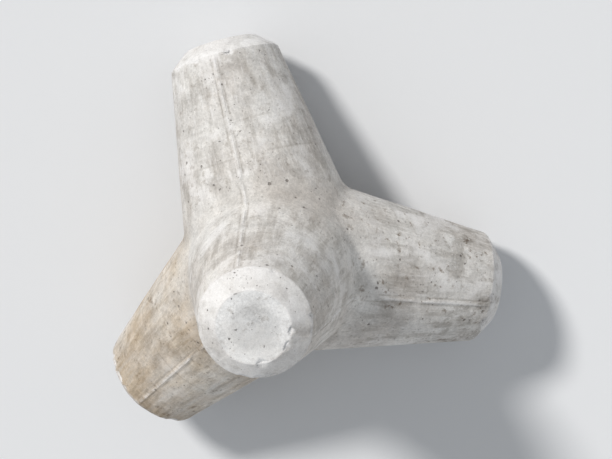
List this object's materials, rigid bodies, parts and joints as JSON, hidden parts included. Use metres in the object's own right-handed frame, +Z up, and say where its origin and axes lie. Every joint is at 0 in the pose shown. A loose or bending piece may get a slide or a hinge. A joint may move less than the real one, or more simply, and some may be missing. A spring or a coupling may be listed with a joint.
{
  "type": "concrete tetrapod",
  "caption": "Free-standing concrete armour block with equal tapered, bevel-ended legs that point to the corners of a tetrahedron.",
  "frame": {"origin": "the point where the four leg axes meet, which is the block's centre of mass; the floor is 0.985 m below it", "axes": "+Z up the axis of the upright leg; +X over the axis of one of the three legs that the block stands on"},
  "size_m": [3.0012, 3.3072, 2.8011],
  "materials": {
    "concrete": "rough cast concrete, weathered and stained"
  },
  "bodies": {
    "root": {"tetrapod": "concrete"}
  },
  "joints": []
}
